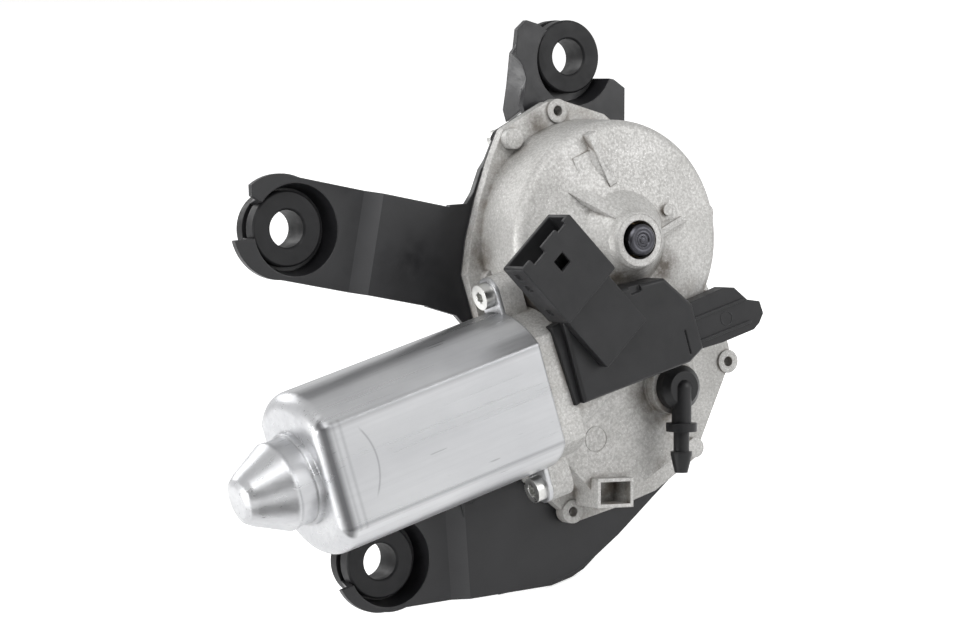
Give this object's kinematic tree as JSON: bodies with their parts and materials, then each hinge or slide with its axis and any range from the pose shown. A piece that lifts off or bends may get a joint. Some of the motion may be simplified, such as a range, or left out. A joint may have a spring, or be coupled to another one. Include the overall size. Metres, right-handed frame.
{
  "type": "rear wiper motor",
  "caption": "Rear wiper motor: worm gear motor with crank linkage, hollow output spindle, washer hose elbow, connector, and a three-armed bracket on rubber grommets.",
  "frame": {"origin": "on the output spindle's axis, in the bracket's back face, where the spindle tube comes out", "axes": "+Y along the output spindle toward the wiper arm, -X along the motor axis toward the motor can's nose, +Z toward the bracket's upper arm"},
  "size_m": [0.2203, 0.1083, 0.1932],
  "materials": {
    "cast_aluminium": "as-cast, fine grain, stained in its recesses",
    "can_steel": "bright satin drawn steel",
    "black_steel": "satin black coat",
    "rubber": "matte black",
    "gasket": "matte black",
    "black_plastic": "matte dark grey",
    "zinc": "zinc plated",
    "shaft_steel": "turned, dark",
    "core_steel": "plain steel",
    "bronze": "sintered bronze",
    "copper": "copper",
    "ferrite": "dark ceramic magnet",
    "carbon": "pressed carbon",
    "wheel_plastic": "natural white gear plastic"
  },
  "bodies": {
    "housing": {"gear_housing": "cast_aluminium", "cover_gasket": "gasket", "bracket": "black_steel", "cover_screws": "zinc", "grommet_left": "rubber", "grommet_bottom": "rubber", "grommet_top": "rubber", "motor_can": "can_steel", "motor_screws": "zinc", "can_bearing": "bronze", "bearing_retainer": "zinc", "magnets": "ferrite", "worm_bushes": "bronze", "thrust_ball": "shaft_steel", "thrust_screw": "zinc", "brush_card": "black_plastic", "brushes": "carbon", "brush_holders": "bronze", "brush_springs": "zinc", "wheel_washer": "zinc", "axle_bush": "bronze", "spindle_tube": "zinc", "spindle_bushes": "bronze", "spindle_seal": "rubber", "connector_socket": "black_plastic", "terminals": "bronze", "connector_cover": "black_plastic", "hose_elbow": "black_plastic"},
    "armature": {"armature_shaft": "shaft_steel", "armature_core": "core_steel", "armature_windings": "copper", "commutator": "copper"},
    "wheel": {"worm_wheel": "wheel_plastic", "wheel_axle": "shaft_steel", "crank_pin": "shaft_steel"},
    "spindle": {"output_spindle": "shaft_steel", "spindle_lever": "core_steel", "lever_pin": "shaft_steel", "spindle_circlip": "shaft_steel"},
    "rod": {"connecting_rod": "core_steel"}
  },
  "joints": [
    {"name": "armature_spin", "type": "hinge", "parent": "housing", "child": "armature", "pos_m": [-0.09, -0.0238, 0.0205], "axis": [1, 0, 0], "continuous": true},
    {"name": "wheel_spin", "type": "hinge", "parent": "housing", "child": "wheel", "pos_m": [-0.011, -0.0238, 0.0585], "axis": [0, 1, 0], "continuous": true},
    {"name": "spindle_swing", "type": "hinge", "parent": "housing", "child": "spindle", "pos_m": [0, 0, 0], "axis": [0, -1, 0], "range_deg": [0, 93.3]},
    {"name": "rod_swing", "type": "hinge", "parent": "spindle", "child": "rod", "pos_m": [-0.01393, -0.0131, 0.01702], "axis": [0, -1, 0], "range_deg": [-93.3, 0]}
  ],
  "couplings": [
    {"joint": "wheel_spin", "follows": "armature_spin", "ratio": 0.017857},
    {"joint": "rod_swing", "follows": "spindle_swing", "ratio": -1}
  ]
}
